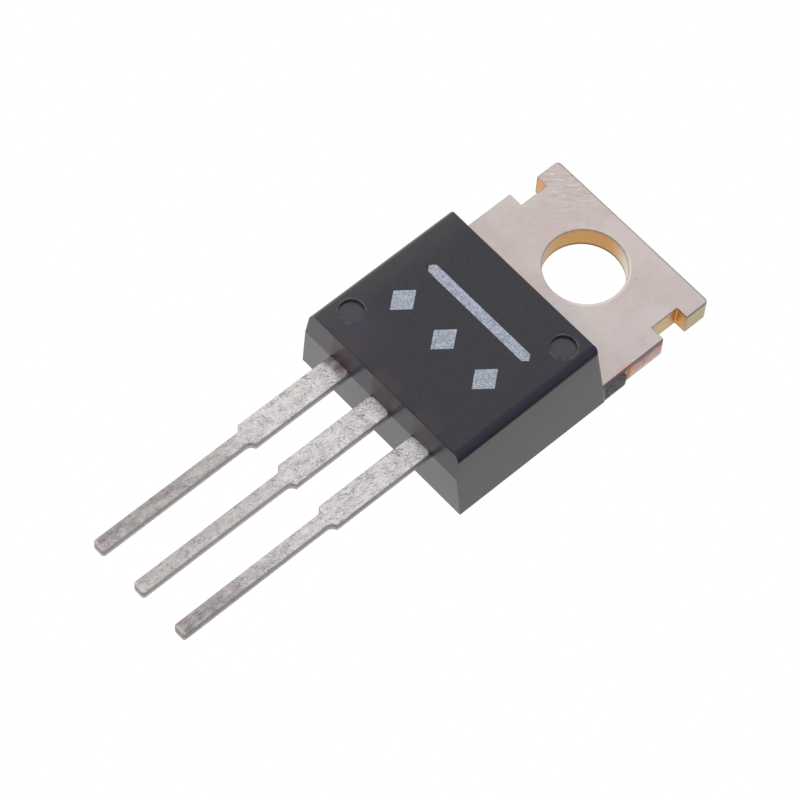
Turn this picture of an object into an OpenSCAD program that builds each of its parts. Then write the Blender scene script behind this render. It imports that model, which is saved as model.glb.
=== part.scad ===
// Power transistor in a three-lead plastic package with a bare metal tab.
// It lies on its back. The origin is the centre of the mounting hole on the back plane:
// X runs across the leads, Y from the leads to the tab, Z out of the marked face.

/* [Moulded body] */
// Width of the body across its back
body_w = 10.0; // [9.9:0.05:10.4]
// Height from the back plane to the marked face
body_h = 4.4; // [4.2:0.05:4.8]
// Distance from the hole centre to the widest line of the lead end
lead_end = 12.0; // [11.8:0.05:12.8]
// Distance from the hole centre to the foot of the tab-end wall
tab_end_foot = 3.48; // [3.3:0.02:3.7]
// Draft angle of the two long side walls, degrees
side_draft = 5.2; // [2:0.2:7]
// Draft angle of the tab-end wall, degrees
tab_end_draft = 7.4; // [3:0.2:9]
// Height of the parting line on the lead-end wall, within the thickness of the leads
parting_h = 2.85; // [2.6:0.05:2.9]
// Draft angle of the lead-end wall above the parting line, degrees
lead_end_draft = 5; // [2:0.5:8]
// Draft angle of the lead-end wall below the parting line, degrees
lower_draft = 3.2; // [1:0.2:5]
// Radius along the long edges of the marked face
top_edge_r = 0.5; // [0.2:0.05:0.6]
// Radius along the two short edges of the marked face
end_edge_r = 0.1; // [0.05:0.05:0.3]
// Radius of the two upright corners at the tab end
tab_corner_r = 0.18; // [0.1:0.02:0.4]
// Length of the moulded lip that runs along each side of the tab
side_lip_l = 1.5; // [1.2:0.05:1.7]
// Height of that lip
side_lip_h = 1.1; // [1.0:0.02:1.18]
// How far the lip is set back from the side wall of the body
side_lip_inset = 0.04; // [0.02:0.01:0.06]
// Radius with which the lip falls away at its end, seen from the side
side_lip_end_r = 0.9; // [0.3:0.05:1.0]
// Radius of the lip's end, seen from above
side_lip_tip_r = 0.3; // [0.1:0.05:0.4]
// Radius along the lip's outer upper edge
side_lip_edge_r = 0.1; // [0.05:0.01:0.14]

/* [Ejector marks] */
// Diameter of the ejector pin marks in the marked face
mark_d = 1.15; // [0.8:0.05:1.4]
// Depth of the marks
mark_depth = 0.14; // [0.03:0.01:0.2]
// Distance of each mark from the nearer side of the body's back
mark_side_inset = 1.45; // [1.3:0.05:2.0]
// Distance of the lead-end mark from the lead end
mark_lead_inset = 1.5; // [1.2:0.05:1.8]
// Distance of the tab-end mark from the foot of the tab-end wall
mark_tab_inset = 1.46; // [1.3:0.02:1.8]

/* [Tab and die pad] */
// How far each side of the tab lies inside the back edge of the body
tab_side_inset = 0.14; // [0.1:0.01:0.3]
// Thickness of the tab and the die pad
tab_t = 1.25; // [1.22:0.01:1.35]
// Distance from the hole centre to the end of the tab
tab_reach = 2.86; // [2.6:0.02:3.2]
// Diameter of the mounting hole
hole_d = 3.78; // [3.55:0.01:4.0]
// Depth of the side notches
notch_depth = 0.73; // [0.4:0.01:0.9]
// How far the ears beyond the notches stand back from the sides of the tab
ear_inset = 0.11; // [0.02:0.01:0.2]
// Distance from the hole centre to the near wall of a notch
notch_start = 0.07; // [-0.1:0.01:0.2]
// Length of a notch
notch_l = 1.49; // [1.2:0.01:1.6]
// Radius of the blanked corners at the tab's end
tab_corner = 0.2; // [0.05:0.01:0.3]
// Width of the moulding at each side of the die pad, on the back
pad_side_wall = 0.9; // [0.8:0.05:1.2]
// Distance from the hole centre to the end of the die pad
pad_end = 10.2; // [10.0:0.05:10.4]
// How far the tab keeps its full width behind the end of the side lips
pad_start = 0.35; // [0.2:0.05:0.5]
// How far the pad's upper edge stands out to lock it in the moulding
lock_w = 0.25; // [0.15:0.05:0.35]
// Thickness of that locking edge
lock_t = 0.5; // [0.3:0.05:0.6]
// Distance of the locking groove from the foot of the tab-end wall
groove_inset = 0.9; // [0.7:0.05:1.2]
// Width of the locking groove across the pad
groove_w = 0.5; // [0.3:0.05:0.7]
// Depth of the locking groove
groove_depth = 0.2; // [0.1:0.05:0.3]

/* [Leads] */
// Distance between neighbouring leads
lead_pitch = 2.54; // [2.5:0.01:2.6]
// Height of the leads' upper face
lead_top = 2.95; // [2.9:0.01:3.0]
// Thickness of the lead sheet
lead_t = 0.48; // [0.4:0.01:0.55]
// Width of a lead beside the body
lead_wide = 1.17; // [1.1:0.01:1.3]
// Width of a lead from its shoulder to the tip
lead_narrow = 0.66; // [0.5:0.01:0.8]
// Length of the wide part outside the body
shoulder_l = 5.18; // [4.5:0.02:6.0]
// Radius of the hollow shoulder
shoulder_r = 0.36; // [0.3:0.02:0.6]
// Length of a lead outside the body
lead_l = 13.25; // [12.7:0.05:14.7]
// Radius of the corners of a lead's tip
lead_tip_r = 0.14; // [0.05:0.01:0.25]
// Inner radius of the two bends in the collector lead
neck_bend_r = 0.3; // [0.25:0.01:0.35]
// Angle of those bends, degrees
neck_angle = 70; // [65:1:80]

/* [Inner lead ends] */
// Width of the bonding paddle on the base and emitter leads
paddle_w = 2.3; // [2.0:0.05:2.4]
// Length of the bonding paddle
paddle_l = 1.25; // [1.0:0.05:1.4]
// Gap between a paddle and the end of the die pad, seen from above
paddle_gap = 0.25; // [0.15:0.05:0.4]
// How far a paddle is set outward from the middle of its lead
paddle_shift = 0.15; // [0.1:0.05:0.25]
// Radius of the paddle's corners
paddle_corner = 0.3; // [0.1:0.05:0.4]
// Diameter of the hole that anchors the outer leads in the moulding
anchor_d = 0.5; // [0.3:0.05:0.6]

/* [Die and bond wires] */
// Side of the square silicon die
die_w = 2.4; // [2.0:0.1:3.0]
// Thickness of the die
die_t = 0.25; // [0.2:0.01:0.35]
// Distance from the end of the die pad to the middle of the die
die_inset = 2.9; // [2.4:0.1:3.4]
// Thickness of the solder under the die
solder_t = 0.06; // [0.05:0.01:0.1]
// Width of the solder that shows around the die
solder_rim = 0.1; // [0.05:0.01:0.2]
// Diameter of the base wire
base_wire_d = 0.15; // [0.12:0.01:0.2]
// Diameter of the emitter wire
emitter_wire_d = 0.25; // [0.2:0.01:0.32]
// Distance between the two bonds on the die
bond_pitch = 1.2; // [0.8:0.05:1.6]
// Distance of each bond on a paddle from the paddle's inner edge
bond_inset = 0.4; // [0.3:0.05:0.6]
// How high a wire bows above the straight line between its bonds
wire_bow = 0.75; // [0.5:0.05:0.9]

/* [Hidden] */

$fn = 48;
over = 1;         // how far a cutting solid passes the face that it cuts
lap = 0.3;        // how far two lengths of one sheet overlap where they join
bond_l = 3;       // length of a bond's foot, in wire diameters
bond_w = 1.6;     // its width, in wire diameters
bond_h = 0.7;     // its height, in wire diameters

// Widths, heights and places that follow from the sizes above
tab_w = body_w - 2 * tab_side_inset;
pad_w = body_w - 2 * pad_side_wall;
mark_x = body_w / 2 - mark_side_inset;
lead_bottom = lead_top - lead_t;
tab_end_back = tab_end_foot - tab_t * tan(tab_end_draft);
tab_end_top = tab_end_back + body_h * tan(tab_end_draft);
lead_end_top = lead_end - (body_h - parting_h) * tan(lead_end_draft);
lead_end_back = lead_end - parting_h * tan(lower_draft);
lip_end = tab_end_foot - side_lip_l;
paddle_start = pad_end + paddle_gap;
die_y = -(pad_end - die_inset);
die_top = tab_t + solder_t + die_t;
shoulder_step = (lead_wide - lead_narrow) / 2;
shoulder_run = sqrt(shoulder_r * shoulder_r - (shoulder_r - shoulder_step) * (shoulder_r - shoulder_step));
neck_mid_r = neck_bend_r + lead_t / 2;
neck_rise = lead_bottom - tab_t - 2 * neck_bend_r + 2 * neck_mid_r * cos(neck_angle);
neck_end = pad_end + 2 * neck_mid_r * sin(neck_angle) + neck_rise / tan(neck_angle);

moulded_body();
heat_sink_frame();
collector_lead();
base_lead();
emitter_lead();
silicon_die();
die_attach_solder();
base_wire();
emitter_wire();

// Epoxy moulding, cast round everything that it holds
module moulded_body() {
    color("dimgray")
    difference() {
        union() {
            body_form();
            side_lips();
        }
        heat_sink_frame();
        collector_lead();
        base_lead();
        emitter_lead();
        silicon_die();
        die_attach_solder();
        base_wire();
        emitter_wire();
        ejector_mark(-mark_x, -(lead_end - mark_lead_inset));
        ejector_mark(mark_x, -(tab_end_foot + mark_tab_inset));
    }
}

// Outer form, where the drafted cross section and the drafted side view meet
module body_form() {
    difference() {
        intersection() {
            along_y() drafted_section(body_w, body_h, top_edge_r);
            across_x() side_view();
        }
        tab_corner_waste();
        mirror([1, 0, 0]) tab_corner_waste();
    }
}

// Section across the leads: drafted sides with round upper edges
module drafted_section(width, height, edge_r) {
    round_z = height - edge_r;
    round_x = width / 2 - (edge_r + round_z * sin(side_draft)) / cos(side_draft);
    side_x = round_x + edge_r * cos(side_draft);
    side_z = round_z + edge_r * sin(side_draft);
    polygon([[-width / 2, 0], [width / 2, 0], [side_x, side_z], [round_x, height],
             [-round_x, height], [-side_x, side_z]]);
    translate([round_x, round_z]) circle(edge_r);
    translate([-round_x, round_z]) circle(edge_r);
}

// View from the side: the lead end breaks at the parting line, the tab end is one wall
module side_view() {
    r = end_edge_r;
    round_z = body_h - r;
    lead_y = -lead_end + (r + (round_z - parting_h) * sin(lead_end_draft)) / cos(lead_end_draft);
    tab_y = -tab_end_back - (r + round_z * sin(tab_end_draft)) / cos(tab_end_draft);
    polygon([[-lead_end_back, 0], [-lead_end, parting_h],
             [lead_y - r * cos(lead_end_draft), round_z + r * sin(lead_end_draft)],
             [lead_y, body_h], [tab_y, body_h],
             [tab_y + r * cos(tab_end_draft), round_z + r * sin(tab_end_draft)],
             [-tab_end_back, 0]]);
    translate([lead_y, round_z]) circle(r);
    translate([tab_y, round_z]) circle(r);
}

// What is rounded off the upright corner where a side meets the tab end
module tab_corner_waste() {
    r = tab_corner_r;
    wall_angle = acos(sin(side_draft) * sin(tab_end_draft));
    edge_lean = atan(cos(side_draft) * tan(tab_end_draft));
    translate([body_w / 2 - r / cos(side_draft), -tab_end_back - r / cos(tab_end_draft), 0])
        rotate([edge_lean, -side_draft, 0])
            translate([0, 0, -over])
                linear_extrude(body_h + 3 * over)
                    difference() {
                        polygon([[0, 0], [2 * r, 0], [2 * r, 2 * r], [2 * r / tan(wall_angle), 2 * r]]);
                        circle(r);
                    }
}

// Moulded lips that run on along the sides of the tab
module side_lips() {
    intersection() {
        along_y() drafted_section(body_w - 2 * side_lip_inset, side_lip_h, side_lip_edge_r);
        across_x() lip_side_view();
        linear_extrude(side_lip_h) lip_plan();
    }
}

module lip_side_view() {
    back = -(tab_end_top + over);
    translate([back, 0]) square([-lip_end - back, side_lip_h - side_lip_end_r]);
    translate([back, 0]) square([-lip_end - side_lip_end_r - back, side_lip_h]);
    translate([-lip_end - side_lip_end_r, side_lip_h - side_lip_end_r]) circle(side_lip_end_r);
}

module lip_plan() {
    for (side = [0, 1])
        mirror([side, 0])
            intersection() {
                translate([pad_w / 2, -tab_end_top - over]) square([body_w, tab_end_top + over]);
                translate([0, -lip_end - (body_w / 2)])
                    rounded_rectangle([body_w - 2 * side_lip_inset, body_w], side_lip_tip_r);
            }
}

// Round mark that an ejector pin leaves in the marked face
module ejector_mark(x, y) {
    translate([x, y, body_h - mark_depth]) cylinder(h = over, d = mark_d);
}

// Tab, die pad and collector lead, stamped from one strip of two thicknesses
module heat_sink_frame() {
    color("silver")
    difference() {
        union() {
            linear_extrude(tab_t) tab_outline(lip_end + pad_start);
            linear_extrude(tab_t) pad_outline(pad_w, pad_end - lock_w);
            translate([0, 0, tab_t - lock_t]) linear_extrude(lock_t) {
                tab_outline(tab_end_foot + tab_corner_r);
                pad_outline(pad_w + 2 * lock_w, pad_end);
            }
        }
        translate([0, 0, -over]) cylinder(h = tab_t + 2 * over, d = hole_d);
        locking_groove();
    }
}

// Middle lead, which the real part has in one strip with the pad. It is its own node from the
// pad's end on, so that collision stays open below it and between the leads
module collector_lead() {
    color("silver")
    union() {
        across_x(lead_wide) neck_side_view();
        lead_sheet() lead_outline(neck_end);
    }
}

// Tab seen from above, from its end to a given distance behind the hole
module tab_outline(behind) {
    core_w = tab_w - 2 * notch_depth;
    ear_w = tab_w - 2 * ear_inset;
    ear_start = notch_start + notch_l;
    translate([-tab_w / 2, -behind]) square([tab_w, behind + notch_start]);
    translate([-core_w / 2, -behind]) square([core_w, behind + tab_reach - tab_corner]);
    intersection() {
        translate([-ear_w / 2, ear_start]) square([ear_w, tab_reach - ear_start]);
        translate([0, tab_reach - ear_w / 2]) rounded_rectangle([ear_w, ear_w], tab_corner);
    }
}

module pad_outline(width, end) {
    translate([-width / 2, -end]) square([width, end - lip_end]);
}

// Groove across the pad that keys it into the moulding
module locking_groove() {
    translate([-tab_w, -(tab_end_foot + groove_inset) - groove_w / 2, tab_t - groove_depth])
        cube([2 * tab_w, groove_w, over]);
}

// Step of the collector lead, from the die pad up to the height of the other leads
module neck_side_view() {
    low = [-pad_end, tab_t + neck_bend_r];
    high = [-neck_end, lead_bottom - neck_bend_r];
    outer_r = neck_bend_r + lead_t;
    polygon(concat(
        arc(low, outer_r, 270, 270 - neck_angle),
        arc(high, neck_bend_r, 90 - neck_angle, 90),
        [[-neck_end - lap, lead_bottom], [-neck_end - lap, lead_top]],
        arc(high, outer_r, 90, 90 - neck_angle),
        arc(low, neck_bend_r, 270 - neck_angle, 270)));
}

module base_lead() {
    color("gainsboro")
    translate([-lead_pitch, 0, 0])
        lead_sheet() outer_lead_outline();
}

module emitter_lead() {
    color("lightsteelblue")
    mirror([1, 0, 0])
        translate([-lead_pitch, 0, 0])
            lead_sheet() outer_lead_outline();
}

// A lead at either side ends in a bonding paddle, anchored through a hole
module outer_lead_outline() {
    difference() {
        union() {
            lead_outline(paddle_start + paddle_l / 2);
            translate([-paddle_shift, -(paddle_start + paddle_l / 2)])
                rounded_rectangle([paddle_w, paddle_l], paddle_corner);
        }
        translate([0, -(paddle_start + paddle_l - anchor_d)]) circle(d = anchor_d);
    }
}

// A lead from its tip, over the hollow shoulders, to a given distance from the hole
module lead_outline(inner_end) {
    tip = lead_end + lead_l;
    shoulder = lead_end + shoulder_l;
    translate([0, -(tip + inner_end) / 2]) rounded_rectangle([lead_narrow, tip - inner_end], lead_tip_r);
    difference() {
        translate([-lead_wide / 2, -shoulder - shoulder_run])
            square([lead_wide, shoulder + shoulder_run - inner_end]);
        for (side = [-1, 1])
            translate([side * (lead_narrow / 2 + shoulder_r), -shoulder - shoulder_run]) circle(shoulder_r);
    }
}

module lead_sheet() {
    translate([0, 0, lead_bottom]) linear_extrude(lead_t) children();
}

module silicon_die() {
    color("slategray")
    translate([-die_w / 2, die_y - die_w / 2, tab_t + solder_t])
        cube([die_w, die_w, die_t]);
}

module die_attach_solder() {
    side = die_w + 2 * solder_rim;
    color("lightgray")
    translate([-side / 2, die_y - side / 2, tab_t])
        cube([side, side, solder_t]);
}

module base_wire() {
    color("gold")
    difference() {
        bond_wire(-1, base_wire_d);
        silicon_die();
        base_lead();
    }
}

module emitter_wire() {
    color("goldenrod")
    difference() {
        bond_wire(1, emitter_wire_d);
        silicon_die();
        emitter_lead();
    }
}

// A wire from the die to the lead on the given side, with a pressed foot at each bond
module bond_wire(side, wire_d) {
    first = [side * bond_pitch / 2, die_y];
    last = [side * lead_pitch, -(paddle_start + bond_inset)];
    heading = atan2(last.y - first.y, last.x - first.x);
    run = norm(last - first);
    foot_mid = bond_h * wire_d / 2;
    translate([first.x, first.y, 0])
        rotate([90, 0, heading])
            bowed_wire([0, die_top + foot_mid], [run, lead_top + foot_mid], wire_d);
    bond_foot(first, die_top, heading, wire_d);
    bond_foot(last, lead_top, heading, wire_d);
}

// Arc of wire in an upright plane, between two points of that plane
module bowed_wire(from, to, wire_d) {
    chord = norm(to - from);
    r = chord * chord / (8 * wire_bow) + wire_bow / 2;
    upward = [from.y - to.y, to.x - from.x] / chord;
    centre = (from + to) / 2 - (r - wire_bow) * upward;
    first_angle = atan2(from.y - centre.y, from.x - centre.x);
    last_angle = atan2(to.y - centre.y, to.x - centre.x);
    translate([centre.x, centre.y, 0])
        rotate([0, 0, last_angle])
            rotate_extrude(angle = first_angle - last_angle)
                translate([r, 0]) circle(d = wire_d);
}

module bond_foot(at, seat_z, heading, wire_d) {
    translate([at.x, at.y, seat_z])
        rotate([0, 0, heading])
            translate([-bond_l * wire_d / 2, -bond_w * wire_d / 2, 0])
                cube([bond_l * wire_d, bond_w * wire_d, bond_h * wire_d]);
}

// Turns an outline drawn in X and Z into a solid that runs along Y through the body
module along_y() {
    translate([0, over, 0])
        rotate([90, 0, 0])
            linear_extrude(lead_end + 2 * over) children();
}

// Turns an outline drawn in Y and Z into a solid that runs across X
module across_x(width = body_w + 2 * over) {
    translate([-width / 2, 0, 0])
        rotate([90, 0, 90])
            linear_extrude(width) children();
}

module rounded_rectangle(size, r) {
    square([size.x - 2 * r, size.y], center = true);
    square([size.x, size.y - 2 * r], center = true);
    for (x = [-1, 1], y = [-1, 1])
        translate([x * (size.x / 2 - r), y * (size.y / 2 - r)]) circle(r);
}

// Points of an arc in steps, from one angle to another
function arc(centre, r, from, to, steps = 12) =
    [for (i = [0:steps]) let (a = from + (to - from) * i / steps) centre + r * [cos(a), sin(a)]];
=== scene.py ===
"""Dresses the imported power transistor: soft edges, finishes, printed marks, light and camera."""

import math

import bmesh
import bpy
from mathutils import Matrix, Vector


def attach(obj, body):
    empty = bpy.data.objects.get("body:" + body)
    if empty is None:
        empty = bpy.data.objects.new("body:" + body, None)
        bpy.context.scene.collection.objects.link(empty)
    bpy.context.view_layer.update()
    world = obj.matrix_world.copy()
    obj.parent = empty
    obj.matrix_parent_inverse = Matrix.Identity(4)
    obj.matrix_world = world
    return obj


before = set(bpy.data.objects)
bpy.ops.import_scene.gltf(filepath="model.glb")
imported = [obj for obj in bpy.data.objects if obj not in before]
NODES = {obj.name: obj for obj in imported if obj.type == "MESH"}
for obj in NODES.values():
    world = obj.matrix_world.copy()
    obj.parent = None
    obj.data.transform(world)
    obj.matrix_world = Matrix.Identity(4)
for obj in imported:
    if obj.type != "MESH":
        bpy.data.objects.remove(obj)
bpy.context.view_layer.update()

MM = 0.001

# Camera, fitted to the photograph
VIEW_AZIMUTH = 43.845
VIEW_ELEVATION = 60.028
VIEW_ROLL = 4.692
VIEW_DISTANCE = 174.4 * MM
VIEW_AIM = Vector((-0.185, -10.64, 1.5)) * MM
LENS = 185.7
SENSOR = 36
CLIP_START = 1 * MM
CLIP_END = 10

# Sizes of the solids in millimetres, where a finish follows them
LEAD_PITCH = 2.54
LEAD_WIDE = 1.17
LEAD_TOP = 2.95
FOOT_Y = -12.0
FOOT_CORNER = 0.26
TIP_Y = -25.25
LIP_START = -3.3
TAB_END = 2.86
MARK_RADIUS = 0.575
MARKS = ((-3.55, -10.5), (3.55, -4.94))
BODY_TOP = 4.4

# Rounded edges: their radii, how many steps they have, and the angle in degrees from which an edge is sharp
BODY_EDGE = 0.03 * MM
PUNCHED_EDGE = 0.07 * MM
LEAD_EDGE = 0.08 * MM
EDGE_STEPS = 3
EDGE_ANGLE = 25

# Corners nearer than this are one, and faces that fold by less than this many degrees are one
WELD_REACH = 1e-7
FLAT_ANGLE = 0.5

# The parting line folds by 8.2 degrees and has to look crisp, the steps of a round wall fold by 7.5
CRISP_ANGLE = 7.9

# Light
WHITE = (1, 1, 1)
FLOOR_SIZE = 1.2
FLOOR_GAP = 0.01 * MM
FLOOR_LIGHT = 1.0
SOFTBOX_HEIGHT = 0.5
SOFTBOX_CENTRE = (-0.17, 0.17)
SOFTBOX_SIZE = (0.62, 0.66)
SOFTBOX_LIGHT = 1.16
ROOM_LIGHT = (0.9, 0.9, 0.91)
CARD_PLACE = 8.0 * MM
CARD_HEIGHT = 36.0 * MM
CARD_LENGTH = 110.0 * MM
CARD_MIDDLE = -10.0 * MM
CARD_TINT = (0.94, 1.0, 1.24)
# How bright the card is at each height in millimetres
CARD_LIGHT = ((0, 0.17), (2, 0.25), (4, 0.5), (6, 0.64), (10, 0.74), (20, 0.84), (36, 0.9))

# Print: a bar and three diamonds, in millimetres
INK_HEIGHT = 0.012
BAR = ((-3.1, -6.5), (-2.9, -6.25), (2.9, -6.25), (3.1, -6.5), (2.9, -6.75), (-2.9, -6.75))
DIAMOND_Y = -8.5
DIAMOND = (0.6, 0.75)


# Node graphs

class Graph:
    """A material's nodes, built by short calls. Lengths in it are in millimetres."""

    def __init__(self, name):
        self.material = bpy.data.materials.new(name)
        self.material.use_nodes = True
        self.tree = self.material.node_tree
        self.tree.nodes.clear()
        out = self.add("ShaderNodeOutputMaterial")
        self.shader = self.add("ShaderNodeBsdfPrincipled")
        self.tree.links.new(self.shader.outputs[0], out.inputs["Surface"])
        where = self.add("ShaderNodeTexCoord").outputs["Object"]
        self.place = self.scaled(where, (1 / MM, 1 / MM, 1 / MM))
        self.x, self.y, self.z = self.split(self.place)
        normal = self.add("ShaderNodeNewGeometry").outputs["True Normal"]
        self.nx, self.ny, self.nz = self.split(normal)
        self.aside = self.math("ABSOLUTE", self.x)

    def add(self, kind, **settings):
        node = self.tree.nodes.new(kind)
        for key, value in settings.items():
            setattr(node, key, value)
        return node

    def join(self, source, socket):
        if isinstance(source, (int, float, tuple)):
            socket.default_value = source
        else:
            self.tree.links.new(source, socket)

    def set(self, **sockets):
        """Sets or links sockets of the surface shader, by name with _ for a space."""
        for name, value in sockets.items():
            self.join(value, self.shader.inputs[name.replace("_", " ")])

    def split(self, vector):
        node = self.add("ShaderNodeSeparateXYZ")
        self.join(vector, node.inputs[0])
        return node.outputs

    def math(self, operation, a, b=0.0, clamp=False):
        node = self.add("ShaderNodeMath", operation=operation, use_clamp=clamp)
        self.join(a, node.inputs[0])
        self.join(b, node.inputs[1])
        return node.outputs[0]

    def chain(self, operation, values):
        result = values[0]
        for value in values[1:]:
            result = self.math(operation, result, value)
        return result

    def times(self, *factors):
        return self.chain("MULTIPLY", factors)

    def plus(self, *terms):
        return self.chain("ADD", terms)

    def largest(self, *values):
        return self.chain("MAXIMUM", values)

    def scaled(self, vector, factors):
        node = self.add("ShaderNodeVectorMath", operation="MULTIPLY")
        self.join(vector, node.inputs[0])
        self.join(factors, node.inputs[1])
        return node.outputs[0]

    def noise(self, size, stretch=(1, 1, 1), detail=2.0, roughness=0.5, warp=0.0, turn=0.0):
        """Noise in blots of about that size, longer along an axis with a larger stretch.

        It can be turned about Z, by degrees.
        """
        place = self.place
        if turn:
            turned = self.add("ShaderNodeVectorRotate", rotation_type="Z_AXIS")
            self.join(place, turned.inputs["Vector"])
            turned.inputs["Angle"].default_value = math.radians(-turn)
            place = turned.outputs["Vector"]
        node = self.add("ShaderNodeTexNoise")
        self.join(self.scaled(place, tuple(1 / s for s in stretch)), node.inputs["Vector"])
        node.inputs["Scale"].default_value = 1 / size
        node.inputs["Detail"].default_value = detail
        node.inputs["Roughness"].default_value = roughness
        node.inputs["Distortion"].default_value = warp
        return node.outputs["Fac"]

    def sway(self, noise, reach):
        """A noise moved so that its middle level is 0, times reach."""
        return self.times(self.math("SUBTRACT", noise, NOISE_MIDDLE), reach)

    def lines(self, width, **settings):
        """Thin winding lines, along the middle level of a noise."""
        level = self.math("ABSOLUTE", self.math("SUBTRACT", self.noise(**settings), NOISE_MIDDLE))
        return self.step(level, width, 0.0)

    def step(self, value, start, full):
        """0 up to start and 1 from full on, smooth between; start may be the larger one."""
        node = self.add("ShaderNodeMapRange", interpolation_type="SMOOTHSTEP")
        self.join(value, node.inputs["Value"])
        node.inputs["From Min"].default_value = min(start, full)
        node.inputs["From Max"].default_value = max(start, full)
        node.inputs["To Min"].default_value = 0.0 if start < full else 1.0
        node.inputs["To Max"].default_value = 1.0 if start < full else 0.0
        return node.outputs["Result"]

    def within(self, value, low, high, soft):
        """1 between low and high, fading to 0 over the distance soft at either end."""
        return self.times(self.step(value, low - soft, low), self.step(value, high + soft, high))

    def span(self, value, first, last):
        """Maps 0..1 to first..last."""
        node = self.add("ShaderNodeMapRange")
        self.join(value, node.inputs["Value"])
        node.inputs["To Min"].default_value = first
        node.inputs["To Max"].default_value = last
        return node.outputs["Result"]

    def length(self, a, b):
        """Length of the slanting side of a right triangle."""
        return self.math("SQRT", self.plus(self.math("POWER", a, 2.0), self.math("POWER", b, 2.0)))

    def distance(self, x, y):
        """Distance from an upright axis through that place."""
        return self.length(self.math("SUBTRACT", self.x, x), self.math("SUBTRACT", self.y, y))

    def lane(self):
        """Distance in X from the middle of the nearest lead."""
        node = self.add("ShaderNodeMath", operation="WRAP")
        self.join(self.x, node.inputs[0])
        node.inputs[1].default_value = LEAD_PITCH / 2
        node.inputs[2].default_value = -LEAD_PITCH / 2
        return self.math("ABSOLUTE", node.outputs[0])

    def wall(self):
        """1 on upright faces, 0 on level ones."""
        return self.step(self.math("ABSOLUTE", self.nz), *WALL_NORMAL)

    def mix(self, share, a, b):
        node = self.add("ShaderNodeMix", data_type="RGBA")
        self.join(share, node.inputs["Factor"])
        self.join(opaque(a), node.inputs["A"])
        self.join(opaque(b), node.inputs["B"])
        return node.outputs["Result"]

    def over(self, under, mask, colour, share=1.0):
        """Lays a colour over what is there, where the mask says and at that share."""
        return self.mix(mask if share == 1.0 else self.times(mask, share), under, colour)

    def bump(self, height, depth, below=None):
        node = self.add("ShaderNodeBump")
        self.join(height, node.inputs["Height"])
        node.inputs["Distance"].default_value = depth * MM
        if below is not None:
            self.join(below, node.inputs["Normal"])
        return node.outputs["Normal"]


def opaque(colour):
    return (*colour, 1.0) if isinstance(colour, tuple) and len(colour) == 3 else colour


def linear(level):
    """One channel of a picture, 0 to 255, as linear light by the sRGB curve."""
    return ((level / 255 + 0.055) / 1.055) ** 2.4 if level > 10 else level / 255 / 12.92


def shade(red, green, blue):
    """A colour as a picture shows it, 0 to 255, as linear light."""
    return linear(red), linear(green), linear(blue)


# Pairs whose names end in X, Y, Z or RADIUS are zones of a finish: where it begins and where it is full,
# in millimetres. Zones with three numbers are full between the first two and fade over the third.
# Pairs whose names end in NORMAL say the same of how far a face turns towards an axis.

WALL_NORMAL = (0.8, 0.4)
SIDE_NORMAL = (0.7, 0.9)
LEAD_END_NORMAL = (-0.7, -0.9)
NOTCH_NORMAL = (-0.5, -0.7)

NOISE_MIDDLE = 0.5
OUTER_LEADS_X = (0.9, 1.8)


# Moulding

MOULD_COOL = shade(27, 25, 39)
MOULD_WARM_LIT = shade(46, 39, 43)
MOULD_POCK = shade(12, 12, 18)
MOULD_FLECK = shade(92, 86, 88)
MOULD_ROUGHNESS = (0.16, 0.26)
POCK_SHARE = 0.7
WARMTH_PER_X = -0.08
WARMTH_PER_Y = 0.05
WARMTH_SHIFT = 5.5

CORNER_PALE = shade(43, 38, 52)
CORNER_X = (-0.5, -3.0)
CORNER_Y = (-9.0, -10.8)
LEAD_END_PALE = shade(57, 48, 56)
LEAD_END_X = (-0.8, -4.3)
STRIP_HIGHLIGHT = shade(54, 47, 50)
STRIP_X = (-3.1, -4.3)
STRIP_Z = (3.8, 4.2)
SIDE_HIGH = shade(10, 4, 4)
SIDE_LOW = shade(24, 12, 4)
SIDE_Z = (3.0, 1.6)

LIP_DARK = shade(28, 22, 16)
LIP_PALE = shade(78, 73, 60)
LIP_Y = (LIP_START - 0.05, LIP_START + 0.05)
LIP_Z = (0.08, 1.25, 0.08)
LIP_DULL = 0.3
SEAM_SHADOW = shade(16, 10, 5)
SEAM_Y = (-2.15, -1.95)
SEAM_Z = (0.9, 1.08)

TINGE_REFLECTION_BROWN = shade(56, 40, 42)
TINGE_LANE_X = (0.85, 0.5)
TINGE_X = (3.4, 3.1)
TINGE_Y = (-10.9, -11.9)
TINGE_Z = (2.9, 3.0)
TINGE_DULL = 0.25

RIM_HIGHLIGHT = shade(78, 76, 80)
RIM_RADIUS = (MARK_RADIUS + 0.02, MARK_RADIUS + 0.07, 0.03)
RIM_Z = (4.35, 4.39)
SUNK_PAINTED_LIGHT = shade(66, 63, 66)
SUNK_RADIUS = (MARK_RADIUS + 0.02, MARK_RADIUS - 0.02)
SUNK_Z = (4.0, 4.1)


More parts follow.
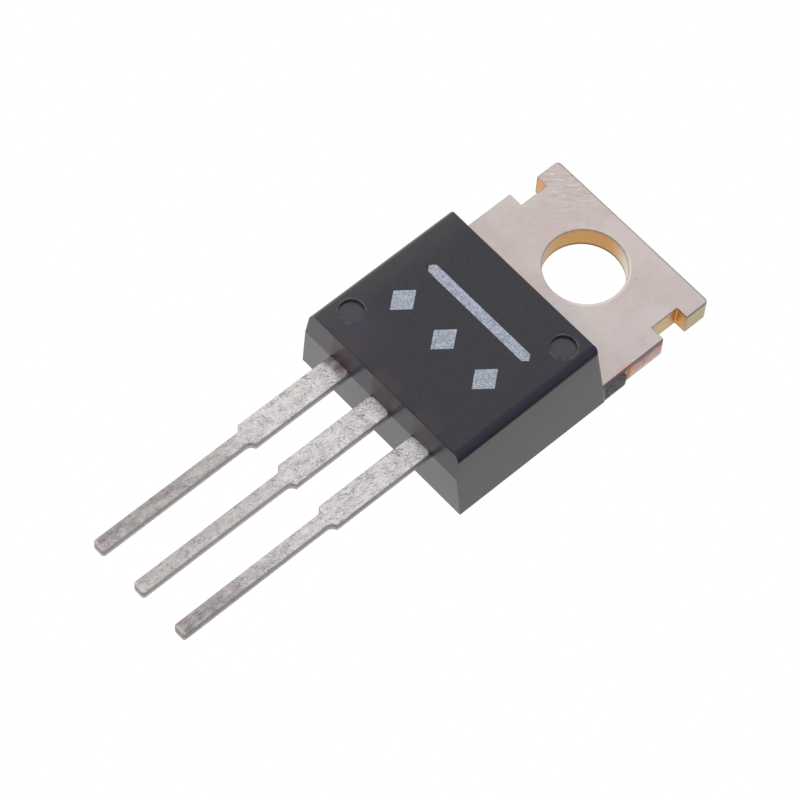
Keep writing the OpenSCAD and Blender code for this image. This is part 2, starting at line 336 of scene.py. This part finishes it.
def epoxy():
    """Dark moulding in blotchy tones, with painted light that makes it warmer and lighter towards the far
    side and the tab, cooler towards the lead end.
    """
    g = Graph("black_epoxy")
    blotch = g.noise(size=1.6, detail=3, roughness=0.6)
    mottle = g.noise(size=0.2, detail=4, roughness=0.75)
    fleck = g.step(g.noise(size=0.045, detail=1), start=0.66, full=0.78)
    # Painted light: the moulding grows warmer and lighter towards the far side and the tab
    far = g.plus(g.times(g.x, WARMTH_PER_X), g.times(g.plus(g.y, WARMTH_SHIFT), WARMTH_PER_Y))
    warmth_and_light = g.math("ADD", far, g.sway(blotch, reach=1.2), clamp=True)
    base = g.mix(warmth_and_light, MOULD_COOL, MOULD_WARM_LIT)
    pocked = g.mix(POCK_SHARE, base, MOULD_POCK)
    base = g.mix(g.step(mottle, start=0.35, full=0.65), pocked, base)
    base = g.over(base, fleck, MOULD_FLECK, share=0.45)

    # Paler towards the base lead's corner, on the marked face and on the lead end
    corner = g.times(g.step(g.x, *CORNER_X), g.step(g.y, *CORNER_Y))
    base = g.over(base, corner, CORNER_PALE, share=0.9)
    lead_end = g.times(g.step(g.ny, *LEAD_END_NORMAL), g.step(g.x, *LEAD_END_X))
    base = g.over(base, lead_end, LEAD_END_PALE)

    # Painted highlight along the far long edge, where its rounding catches the light
    strip_highlight = g.times(g.step(g.x, *STRIP_X), g.step(g.z, *STRIP_Z), g.span(blotch, first=0.5, last=1.1))
    base = g.over(base, strip_highlight, STRIP_HIGHLIGHT)

    # Warmer sides, and a mottled olive film on the lips beside the tab
    side = g.step(g.math("ABSOLUTE", g.nx), *SIDE_NORMAL)
    base = g.over(base, side, g.mix(g.step(g.z, *SIDE_Z), SIDE_HIGH, SIDE_LOW))
    lip = g.times(g.step(g.y, *LIP_Y), g.within(g.z, *LIP_Z))
    film = g.step(g.noise(size=0.22, detail=3, roughness=0.6), start=0.4, full=0.62)
    base = g.over(base, lip, g.mix(film, LIP_DARK, LIP_PALE))
    # Painted shadow in the gap between each lip and the tab, along its upper edge and at its end
    seam_shadow = g.times(lip, g.largest(g.step(g.z, *SEAM_Z), g.step(g.y, *SEAM_Y)))
    base = g.over(base, seam_shadow, SEAM_SHADOW, share=0.8)

    # Dull brown tinge above each lead, with the lead's reflection painted in, strongest above the middle
    # one, which fades on the marked face
    cloudy = g.noise(size=0.5, detail=3, roughness=0.6)
    tinge_and_reflection = g.times(g.step(g.lane(), *TINGE_LANE_X), g.step(g.z, *TINGE_Z), g.step(g.y, *TINGE_Y),
                    g.step(g.aside, *TINGE_X))
    weaker = g.span(g.step(g.aside, *OUTER_LEADS_X), first=1.2, last=0.8)
    tinge_and_reflection = g.times(tinge_and_reflection, g.span(cloudy, first=0.6, last=1.1), weaker)
    base = g.over(base, tinge_and_reflection, TINGE_REFLECTION_BROWN)

    # Ejector marks: a painted highlight in patches on the rim, and a floor painted paler against its shade
    wear_and_sheen = g.step(g.noise(size=0.3, detail=2), start=0.42, full=0.58)
    sunk = 0.0
    for x, y in MARKS:
        away = g.distance(x, y)
        sunk = g.plus(sunk, g.times(g.step(away, *SUNK_RADIUS), g.step(g.z, *SUNK_Z)))
        rim_highlight = g.times(g.within(away, *RIM_RADIUS), g.step(g.z, *RIM_Z))
        base = g.over(base, g.times(rim_highlight, wear_and_sheen), RIM_HIGHLIGHT, share=0.7)
    base = g.over(base, sunk, SUNK_PAINTED_LIGHT, share=0.6)

    dull = g.plus(g.times(tinge_and_reflection, TINGE_DULL), g.times(lip, LIP_DULL))
    rough = g.times(lip, g.noise(size=0.3, detail=4, roughness=0.65, warp=0.5))
    grain = g.noise(size=0.05, detail=2, roughness=0.7)
    g.set(Base_Color=base, IOR=1.5)
    g.set(Roughness=g.plus(g.span(blotch, *MOULD_ROUGHNESS), dull))
    g.set(Normal=g.bump(grain, depth=0.004, below=g.bump(rough, depth=0.12)))
    return g.material


# Leads

TIN_GREY = shade(186, 180, 178)
TIN_PALE = shade(222, 217, 215)
TIN_FLECK = shade(240, 236, 234)
TIN_NICK = shade(120, 110, 110)
TIN_ROUGHNESS = (0.52, 0.36)
SCRATCH_SHARE = 0.8
CREASE_SHARE = 0.8
CRUMB_HEIGHT = 0.7
MOTTLE_HEIGHT = 0.5
NICK_HEIGHT = 0.5

# Grey film. Pairs are its share at the base lead and at the emitter lead; streaks then thin or thicken it
FILM_DARK = shade(122, 112, 112)
FILM_PALE = shade(180, 172, 170)
ACROSS_X = (-2, 2)
NARROW_Y = (-16.2, -19.2)
NARROW_FILM = (0.52, 0.13)
TOWARDS_TIP_Y = (-19.8, -22.8)
TIP_FILM = (0.14, 0.4)
TIP_FILM_LEAST = 0.07
LAST_Y = (-24.3, -24.9)
LAST_FILM = 0.35
STREAKY_FILM = (0.82, 1.14)
STREAK_DARK = shade(118, 98, 104)
STREAK_LANE_X = (0.3, 0.08)
STREAK_Y = (-19, -22.5)

FOOT_LIT_PALE = shade(234, 228, 226)
FOOT_LIT_WHITE = shade(255, 253, 252)
BRIGHT_Y = (FOOT_Y - 1.1, FOOT_Y - 0.3)
STAIN_BROWN = shade(142, 116, 114)
STAIN_X = (-1.7, -2.1)
STAIN_Y = (FOOT_Y - 0.75, FOOT_Y - 0.3)
COVERED_DARK = shade(66, 56, 58)
COVERED_RADIUS = (FOOT_CORNER - 0.03, FOOT_CORNER + 0.05)
TIP_HIGHLIGHT = shade(214, 208, 202)
TIP_RIM_Y = (TIP_Y + 0.21, TIP_Y + 0.11)
SHEARED_PALE = shade(170, 166, 162)
SHEARED_SHADE_LINE = shade(126, 120, 116)
SHEAR_LINE_Z = (LEAD_TOP - 0.23, LEAD_TOP - 0.09, 0.08)


def tinned_lead():
    """Crumpled tin, bright at the moulding and darker towards the tips."""
    g = Graph("tinned_lead")
    mottle = g.noise(size=0.32, stretch=(1, 1.7, 1), detail=5, roughness=0.7, warp=0.5)
    fleck = g.noise(size=0.07, stretch=(1, 1.8, 1), detail=3, roughness=0.7)
    clean = g.mix(g.step(mottle, start=0.25, full=0.75), TIN_GREY, TIN_PALE)
    clean = g.over(clean, g.step(fleck, start=0.5, full=0.64), TIN_FLECK, share=0.6)

    # Grey film, patchy along each lead and thicker towards its tip
    streaky = g.noise(size=0.5, stretch=(1, 5, 1), detail=3, roughness=0.6, warp=0.5)
    outer = g.step(g.aside, *OUTER_LEADS_X)
    across = g.step(g.x, *ACROSS_X)
    narrow = g.times(g.step(g.y, *NARROW_Y), g.span(across, *NARROW_FILM))
    thicker = g.plus(g.times(outer, g.span(across, *TIP_FILM)), TIP_FILM_LEAST)
    tip = g.times(g.step(g.y, *TOWARDS_TIP_Y), thicker)
    last = g.times(g.step(g.y, *LAST_Y), g.times(outer, across), LAST_FILM)
    patchy = g.span(g.step(streaky, start=0.35, full=0.65), *STREAKY_FILM)
    film = g.times(g.plus(narrow, tip, last), patchy)
    colour = g.over(clean, film, g.mix(mottle, FILM_DARK, FILM_PALE))

    # A dark streak along the middle of the outer leads' tips
    lane = g.lane()
    streak = g.times(g.step(lane, *STREAK_LANE_X), g.step(g.y, *STREAK_Y),
                     g.step(streaky, start=0.46, full=0.6), outer)
    colour = g.over(colour, streak, STREAK_DARK, share=0.35)

    # Painted light: bright tin up to the moulding, brightening the roots where the moulding darkens them
    colour = g.over(colour, g.step(g.y, *BRIGHT_Y), g.mix(mottle, FOOT_LIT_PALE, FOOT_LIT_WHITE))

    # Fine wrinkles, scratches and creases
    wrinkle = g.lines(width=0.022, size=0.42, stretch=(1, 2.4, 1), warp=0.7, turn=-24)
    patch = g.step(g.noise(size=0.6), start=0.46, full=0.62)
    scratch = g.noise(size=0.05, stretch=(1, 7, 1), roughness=0.6, warp=0.8)
    crease = g.lines(width=0.03, size=0.26, stretch=(1.6, 1, 1), warp=0.5, turn=38)
    dimpled = g.step(g.noise(size=0.45), start=0.5, full=0.62)
    nick = g.largest(g.times(wrinkle, patch),
                     g.times(g.step(scratch, start=0.62, full=0.72), SCRATCH_SHARE),
                     g.times(crease, dimpled, CREASE_SHARE))
    colour = g.over(colour, nick, TIN_NICK, share=0.32)

    # The base lead's stain, and the two corners that the moulding covers
    stained = g.times(g.step(g.x, *STAIN_X), g.step(g.y, *STAIN_Y),
                      g.span(g.step(streaky, start=0.34, full=0.6), first=0.55, last=1.0))
    colour = g.over(colour, stained, STAIN_BROWN, share=0.85)
    inset = g.math("SUBTRACT", lane, LEAD_WIDE / 2 - FOOT_CORNER)
    reach = g.math("SUBTRACT", g.y, FOOT_Y - FOOT_CORNER)
    covered = g.step(g.length(g.largest(inset, 0.0), g.largest(reach, 0.0)), *COVERED_RADIUS)
    colour = g.over(colour, covered, COVERED_DARK, share=0.85)

    # Painted highlight on the rounded rim at the tips
    colour = g.over(colour, g.step(g.y, *TIP_RIM_Y), TIP_HIGHLIGHT, share=0.4)

    # Sheared sides, with a line of painted shade under the upper edge
    sheared = g.mix(g.within(g.z, *SHEAR_LINE_Z), SHEARED_PALE, SHEARED_SHADE_LINE)
    g.set(Base_Color=g.over(colour, g.wall(), sheared, share=0.85), Metallic=1.0)
    g.set(Roughness=g.span(mottle, *TIN_ROUGHNESS))
    crumb = g.noise(size=0.16, stretch=(1, 1.6, 1), detail=3, roughness=0.6)
    dented = g.math("SUBTRACT", g.times(mottle, MOTTLE_HEIGHT), g.times(nick, NICK_HEIGHT))
    g.set(Normal=g.bump(g.plus(g.times(crumb, CRUMB_HEIGHT), dented), depth=0.032))
    return g.material


# Tab and pad

PLATE_DARK = shade(182, 168, 166)
PLATE_PALE = shade(210, 198, 193)
PLATE_CLOUD = shade(208, 202, 196)
PLATE_PIT = shade(122, 108, 100)
PLATE_ROUGHNESS = (0.36, 0.5)
BRUSH_ANGLE = 49
BRUSH_DARK = shade(158, 146, 143)
BRUSH_PALE = shade(232, 224, 220)
BRUSH_HEIGHT = (0.2, 0.5)
FINE_HEIGHT = 0.25
WORN_X = (-0.5, -4)
WORN_Y = (0.4, 2.2)

MOULDING_SHADOW = shade(140, 132, 130)
MOULDING_SHADOW_Y = (-1.4, -2.3)
END_DARK_REFLECTION = shade(138, 130, 112)
END_REFLECTION_Y = (TAB_END - 0.12, TAB_END - 0.06)
HOLE_RIM_HIGHLIGHT = shade(226, 218, 208)
HOLE_RIM_RADIUS = (2.04, 1.98)
HOLE_RIM_X = (0.4, 1.2)
BARE_COPPER = shade(212, 158, 142)
BARE_X = (4.62, 4.82)
BARE_Y = (-2.45, -1.95, 0.3)

GOLD_DARK = shade(184, 136, 76)
GOLD_PALE = shade(206, 162, 102)
GOLD_EMITTER = shade(224, 212, 192)
GOLD_EMITTER_X = (-0.4, 1.1)
GOLD_LEADS = shade(190, 160, 132)
GOLD_LEADS_Y = (0.3, -0.8)
GOLD_TOP = shade(170, 140, 92)
GOLD_TOP_Z = (1.0, 1.12)
GOLD_FOOT = shade(92, 72, 42)
GOLD_FOOT_Z = (0.24, 0.12)

NOTCH_DARK = shade(176, 154, 104)
NOTCH_PALE = shade(210, 188, 140)
NOTCH_END_DARK = shade(196, 144, 80)
NOTCH_END_PALE = shade(216, 172, 112)
NOTCH_CORNER = shade(208, 148, 74)
NOTCH_CORNER_X = (4.5, 4.15)
NOTCH_CORNER_Y = (1.05, 1.5)
NOTCH_FAR = shade(230, 168, 108)
NOTCH_FAR_X = (0, -4)
NOTCH_FAR_Y = (1.3, 1.5)
NOTCH_FOOT = shade(110, 84, 46)
NOTCH_FOOT_Z = (0.2, 0.08)

EAR_DARK = shade(170, 152, 112)
EAR_PALE = shade(192, 176, 138)
EAR_Y = (1.4, 1.7)
EAR_LINE = shade(110, 88, 52)
EAR_LINE_LOW_Z = (0.16, 0.08)
EAR_LINE_HIGH_Z = (1.12, 1.18)
END_WALL_Y = (2.8, 2.85)

SMOOTH_DARK = shade(108, 64, 56)
SMOOTH_PALE = shade(150, 102, 94)
SMOOTH_Z = (0.82, 0.98)
TORN_DARK = shade(146, 108, 102)
TORN_PALE = shade(194, 162, 154)
TORN_OCHRE = shade(196, 150, 104)
TORN_OCHRE_Y = (-1.5, -1.85)
TORN_LOW = shade(206, 184, 176)
TORN_LOW_Z = (0.5, 0.3)
TORN_FOOT = shade(140, 126, 120)
TORN_FOOT_Z = (0.16, 0.06)
LIP_LINE = shade(140, 84, 46)
LIP_LINE_Y = (-2.05, -1.9, 0.08)
BEHIND_LIP_SHADOW = shade(66, 44, 38)
BEHIND_LIP_Y = (-2.1, -2.25)

# Which wall is meant, by the distance from the middle: outer side, or else notch, or else hole
OUTER_SIDE_X = (4.6, 4.68)
NOTCH_SIDE_X = (3.2, 3.4)


def plated_copper():
    """Plated faces, and copper on the punched walls."""
    g = Graph("plated_copper")
    mottle = g.noise(size=0.8, detail=5, roughness=0.7)
    cloud = g.noise(size=2.2, detail=3, roughness=0.6)
    brushing = g.noise(size=0.07, stretch=(8, 1, 1), detail=3, roughness=0.65, warp=0.9, turn=BRUSH_ANGLE)
    fine = g.noise(size=0.12, detail=3, roughness=0.7)
    pit = g.step(g.noise(size=0.11, detail=1), start=0.73, full=0.8)
    wear_and_sheen = g.times(g.step(g.x, *WORN_X), g.step(g.y, *WORN_Y))
    face = g.mix(mottle, PLATE_DARK, PLATE_PALE)
    face = g.over(face, g.step(cloud, start=0.4, full=0.65), PLATE_CLOUD, share=0.35)
    dark = g.times(g.step(brushing, start=0.5, full=0.68), g.span(wear_and_sheen, first=0.14, last=0.6))
    face = g.over(face, dark, BRUSH_DARK)
    face = g.over(face, g.times(g.step(brushing, start=0.44, full=0.34), wear_and_sheen), BRUSH_PALE, share=0.5)
    face = g.over(face, pit, PLATE_PIT, share=0.5)

    # Painted shadow, a little darker along the moulding
    face = g.over(face, g.step(g.y, *MOULDING_SHADOW_Y), MOULDING_SHADOW, share=0.13)

    # A painted dark reflection along the sheared edge at the tab's end
    face = g.over(face, g.step(g.y, *END_REFLECTION_Y), END_DARK_REFLECTION, share=0.6)
    # A painted highlight on the hole's near rim
    rim_highlight = g.times(g.step(g.distance(0, 0), *HOLE_RIM_RADIUS), g.step(g.x, *HOLE_RIM_X))
    face = g.over(face, rim_highlight, HOLE_RIM_HIGHLIGHT, share=0.7)

    # Copper shows through the plating beside the lip
    ragged = g.plus(g.x, g.sway(g.noise(size=0.3), reach=0.35))
    bare = g.times(g.step(ragged, *BARE_X), g.within(g.y, *BARE_Y))
    face = g.over(face, bare, BARE_COPPER, share=0.55)

    # The hole's wall, golden and paler round towards the emitter's side
    gold = g.mix(fine, GOLD_DARK, GOLD_PALE)
    gold = g.over(gold, g.step(g.x, *GOLD_EMITTER_X), GOLD_EMITTER)
    gold = g.over(gold, g.step(g.y, *GOLD_LEADS_Y), GOLD_LEADS, share=0.7)
    gold = g.over(gold, g.step(g.z, *GOLD_TOP_Z), GOLD_TOP, share=0.4)
    gold = g.over(gold, g.step(g.z, *GOLD_FOOT_Z), GOLD_FOOT, share=0.8)

    # The notches: yellowish walls that deepen to orange in the corner
    notch = g.mix(fine, NOTCH_DARK, NOTCH_PALE)
    facing_leads = g.step(g.ny, *NOTCH_NORMAL)
    notch = g.over(notch, facing_leads, g.mix(fine, NOTCH_END_DARK, NOTCH_END_PALE))
    corner = g.times(g.step(g.aside, *NOTCH_CORNER_X), g.step(g.y, *NOTCH_CORNER_Y))
    notch = g.over(notch, corner, NOTCH_CORNER)
    far = g.times(g.step(g.x, *NOTCH_FAR_X), g.step(g.y, *NOTCH_FAR_Y))
    notch = g.over(notch, far, NOTCH_FAR, share=0.8)
    notch = g.over(notch, g.step(g.z, *NOTCH_FOOT_Z), NOTCH_FOOT, share=0.6)

    # The outer sides between notch and body: torn and pink below, smooth and reddish above
    torn = g.noise(size=0.07, stretch=(1, 1, 4), detail=3, roughness=0.65)
    level = g.plus(g.z, g.sway(g.noise(size=0.35, detail=3), reach=0.35))
    side = g.mix(g.step(torn, start=0.25, full=0.7), TORN_DARK, TORN_PALE)
    side = g.over(side, g.step(g.y, *TORN_OCHRE_Y), TORN_OCHRE, share=0.8)
    side = g.over(side, g.step(level, *TORN_LOW_Z), TORN_LOW, share=0.5)
    side = g.over(side, g.step(g.z, *TORN_FOOT_Z), TORN_FOOT, share=0.7)
    side = g.over(side, g.step(level, *SMOOTH_Z), g.mix(fine, SMOOTH_DARK, SMOOTH_PALE), share=0.95)
    side = g.over(side, g.within(g.y, *LIP_LINE_Y), LIP_LINE, share=0.7)
    # Painted shadow on the side above the lip
    side = g.over(side, g.step(g.y, *BEHIND_LIP_Y), BEHIND_LIP_SHADOW, share=0.85)

    # The ears beyond the notches, pale with a dark line along both edges
    pale = g.mix(fine, EAR_DARK, EAR_PALE)
    ear = g.step(g.y, *EAR_Y)
    side = g.over(side, ear, pale)
    outline = g.largest(g.step(g.z, *EAR_LINE_LOW_Z), g.step(g.z, *EAR_LINE_HIGH_Z))
    side = g.over(side, g.times(outline, ear), EAR_LINE, share=0.7)

    copper = g.over(gold, g.step(g.aside, *NOTCH_SIDE_X), notch)
    copper = g.over(copper, g.step(g.aside, *OUTER_SIDE_X), side)
    copper = g.over(copper, g.step(g.y, *END_WALL_Y), pale)
    g.set(Base_Color=g.over(face, g.wall(), copper), Metallic=1.0)
    g.set(Roughness=g.span(mottle, *PLATE_ROUGHNESS))
    height = g.plus(g.times(brushing, g.span(wear_and_sheen, *BRUSH_HEIGHT)), g.times(fine, FINE_HEIGHT))
    g.set(Normal=g.bump(height, depth=0.033))
    return g.material


# Inner pieces and ink

SILICON_DARK = shade(84, 88, 104)
SILICON_PALE = shade(104, 106, 120)
SOLDER_DARK = shade(150, 150, 152)
SOLDER_PALE = shade(186, 186, 186)
ALUMINIUM_DARK = shade(206, 206, 210)
ALUMINIUM_PALE = shade(230, 230, 232)
INK_THIN = shade(108, 113, 123)
INK_FULL = shade(190, 195, 203)
INK_WORN = shade(104, 107, 117)


def plain(name, size, dark, pale, roughness, metallic=1.0):
    """An even surface with blots of that size, from dark to pale."""
    g = Graph(name)
    g.set(Base_Color=g.mix(g.noise(size), dark, pale), Roughness=roughness, Metallic=metallic)
    return g.material


def ink():
    """Pale stamped ink, speckled where the moulding shows through."""
    g = Graph("pale_ink")
    speck = g.step(g.noise(size=0.06, detail=3, roughness=0.7), start=0.3, full=0.6)
    wear = g.step(g.noise(size=0.25, detail=3, roughness=0.7), start=0.5, full=0.72)
    g.set(Base_Color=g.over(g.mix(speck, INK_THIN, INK_FULL), wear, INK_WORN, share=0.35))
    g.set(Roughness=0.55, Normal=g.bump(speck, depth=0.008))
    return g.material


# Solids

def dress(node, material):
    """Gives a solid that material, and returns the solid."""
    piece = NODES[node]
    piece.data.materials.clear()
    piece.data.materials.append(material)
    return piece


def crisp_folds():
    """Node group that shades each fold of more than CRISP_ANGLE as an edge."""
    tree = bpy.data.node_groups.new("crisp_folds", "GeometryNodeTree")
    tree.interface.new_socket("Geometry", in_out="INPUT", socket_type="NodeSocketGeometry")
    tree.interface.new_socket("Geometry", in_out="OUTPUT", socket_type="NodeSocketGeometry")
    entry = tree.nodes.new("NodeGroupInput")
    leave = tree.nodes.new("NodeGroupOutput")
    fold = tree.nodes.new("GeometryNodeInputMeshEdgeAngle")
    gentle = tree.nodes.new("FunctionNodeCompare")
    gentle.data_type = "FLOAT"
    gentle.operation = "LESS_EQUAL"
    gentle.inputs["B"].default_value = math.radians(CRISP_ANGLE)
    smooth = tree.nodes.new("GeometryNodeSetShadeSmooth")
    smooth.domain = "EDGE"
    tree.links.new(entry.outputs[0], smooth.inputs["Geometry"])
    tree.links.new(fold.outputs["Unsigned Angle"], gentle.inputs["A"])
    tree.links.new(gentle.outputs["Result"], smooth.inputs["Shade Smooth"])
    tree.links.new(smooth.outputs["Geometry"], leave.inputs[0])
    return tree


def soften(piece, radius, folds):
    """Joins the imported corners, clears flat faces of their inner edges and rounds the sharp ones."""
    weld = piece.modifiers.new("weld", "WELD")
    weld.merge_threshold = WELD_REACH
    flat = piece.modifiers.new("flat", "DECIMATE")
    flat.decimate_type = "DISSOLVE"
    flat.angle_limit = math.radians(FLAT_ANGLE)
    crisp = piece.modifiers.new("crisp", "NODES")
    crisp.node_group = folds
    edge = piece.modifiers.new("edge", "BEVEL")
    edge.width = radius
    edge.segments = EDGE_STEPS
    edge.limit_method = "ANGLE"
    edge.angle_limit = math.radians(EDGE_ANGLE)
    edge.harden_normals = True


def solids():
    """Gives each solid its finish, and soft edges where they show."""
    folds = crisp_folds()
    tin = tinned_lead()
    aluminium = plain("bond_aluminium", 0.1, ALUMINIUM_DARK, ALUMINIUM_PALE, roughness=0.25)
    soften(dress("moulded_body", epoxy()), BODY_EDGE, folds)
    soften(dress("heat_sink_frame", plated_copper()), PUNCHED_EDGE, folds)
    for name in ("base_lead", "collector_lead", "emitter_lead"):
        soften(dress(name, tin), LEAD_EDGE, folds)
    dress("silicon_die", plain("silicon", 0.3, SILICON_DARK, SILICON_PALE, roughness=0.15, metallic=0.0))
    dress("die_attach_solder", plain("solder", 0.2, SOLDER_DARK, SOLDER_PALE, roughness=0.4))
    for name in ("base_wire", "emitter_wire"):
        dress(name, aluminium)


# Print

def stamp(name, corners, material):
    """A thin printed shape on the marked face."""
    shape = bmesh.new()
    low, high = ([shape.verts.new((x * MM, y * MM, z * MM)) for x, y in corners]
                 for z in (BODY_TOP, BODY_TOP + INK_HEIGHT))
    shape.faces.new(high)
    shape.faces.new(low)
    for i in range(len(corners)):
        shape.faces.new((low[i - 1], low[i], high[i], high[i - 1]))
    bmesh.ops.recalc_face_normals(shape, faces=shape.faces)
    mesh = bpy.data.meshes.new(name)
    shape.to_mesh(mesh)
    shape.free()
    mesh.materials.append(material)
    piece = bpy.data.objects.new(name, mesh)
    bpy.context.collection.objects.link(piece)
    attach(piece, "root")


def prints():
    """A bar and a diamond over each lead, in pale ink."""
    pale = ink()
    stamp("print_bar", BAR, pale)
    w, h = DIAMOND
    for name, x in (("left", -LEAD_PITCH), ("middle", 0), ("right", LEAD_PITCH)):
        corners = ((x + w, DIAMOND_Y), (x, DIAMOND_Y + h), (x - w, DIAMOND_Y), (x, DIAMOND_Y - h))
        stamp("print_diamond_" + name, corners, pale)


# Stage, light and camera

def glowing(name, colour, strength):
    """A surface that only gives light: black in itself, so that nothing shades it."""
    material = bpy.data.materials.new(name)
    material.use_nodes = True
    shader = material.node_tree.nodes["Principled BSDF"]
    shader.inputs["Base Color"].default_value = (0, 0, 0, 1)
    shader.inputs["Specular IOR Level"].default_value = 0.0
    shader.inputs["Emission Color"].default_value = (*colour, 1)
    shader.inputs["Emission Strength"].default_value = strength
    return material


def graded(name, tint, steps, height):
    """A glowing surface whose light follows its height above the floor."""
    material = glowing(name, tint, strength=1.0)
    tree = material.node_tree
    place = tree.nodes.new("ShaderNodeNewGeometry")
    split = tree.nodes.new("ShaderNodeSeparateXYZ")
    share = tree.nodes.new("ShaderNodeMath")
    share.operation = "DIVIDE"
    share.inputs[1].default_value = height
    ramp = tree.nodes.new("ShaderNodeValToRGB")
    marks = ramp.color_ramp.elements
    while len(marks) < len(steps):
        marks.new(0.5)
    for mark, (level, light) in zip(marks, steps):
        mark.position = level * MM / height
        mark.color = (*(c * light for c in tint), 1)
    tree.links.new(place.outputs["Position"], split.inputs[0])
    tree.links.new(split.outputs["Z"], share.inputs[0])
    tree.links.new(share.outputs[0], ramp.inputs["Fac"])
    tree.links.new(ramp.outputs["Color"], tree.nodes["Principled BSDF"].inputs["Emission Color"])
    return material


def panel(name, size, place, turn, material, seen=True):
    """A flat rectangle of the studio, with its middle at place, which the camera sees or not."""
    bpy.ops.mesh.primitive_plane_add(size=1, location=place, rotation=turn)
    plane = bpy.context.object
    plane.name = name
    plane.scale = (*size, 1)
    plane.data.materials.append(material)
    plane.visible_camera = seen


def studio():
    """White floor in a bright room, soft light from above the far side, and a grey card beside the part."""
    panel("floor", (FLOOR_SIZE, FLOOR_SIZE), (0, 0, -FLOOR_GAP), (0, 0, 0),
          glowing("pale_floor", WHITE, FLOOR_LIGHT))
    panel("softbox", SOFTBOX_SIZE, (*SOFTBOX_CENTRE, SOFTBOX_HEIGHT), (math.pi, 0, 0),
          glowing("softbox", WHITE, SOFTBOX_LIGHT), seen=False)
    panel("card", (CARD_HEIGHT, CARD_LENGTH), (CARD_PLACE, CARD_MIDDLE, CARD_HEIGHT / 2),
          (0, math.pi / 2, 0), graded("card", CARD_TINT, CARD_LIGHT, CARD_HEIGHT), seen=False)
    world = bpy.data.worlds.new("room")
    bpy.context.scene.world = world
    world.use_nodes = True
    background = world.node_tree.nodes["Background"]
    background.inputs["Color"].default_value = (*ROOM_LIGHT, 1)
    background.inputs["Strength"].default_value = 1.0


def view_axes(azimuth, elevation, roll):
    """Right, up and backward directions of a camera at that azimuth and elevation."""
    a, e, r = (math.radians(v) for v in (azimuth, elevation, roll))
    back = Vector((math.sin(a) * math.cos(e), -math.cos(a) * math.cos(e), math.sin(e)))
    level = Vector((math.cos(a), math.sin(a), 0))
    upright = back.cross(level)
    right = math.cos(r) * level + math.sin(r) * upright
    up = math.cos(r) * upright - math.sin(r) * level
    return right, up, back


def camera():
    """A camera at the photograph's viewing angle and distance."""
    lens = bpy.data.cameras.new("camera")
    lens.lens = LENS
    lens.sensor_width = SENSOR
    lens.clip_start = CLIP_START
    lens.clip_end = CLIP_END
    cam = bpy.data.objects.new("camera", lens)
    bpy.context.collection.objects.link(cam)
    right, up, back = view_axes(VIEW_AZIMUTH, VIEW_ELEVATION, VIEW_ROLL)
    turn = Matrix((right, up, back)).transposed().to_4x4()
    cam.matrix_world = Matrix.Translation(VIEW_AIM + VIEW_DISTANCE * back) @ turn
    bpy.context.scene.camera = cam


solids()
prints()
studio()
camera()
bpy.context.scene.view_settings.view_transform = "Standard"
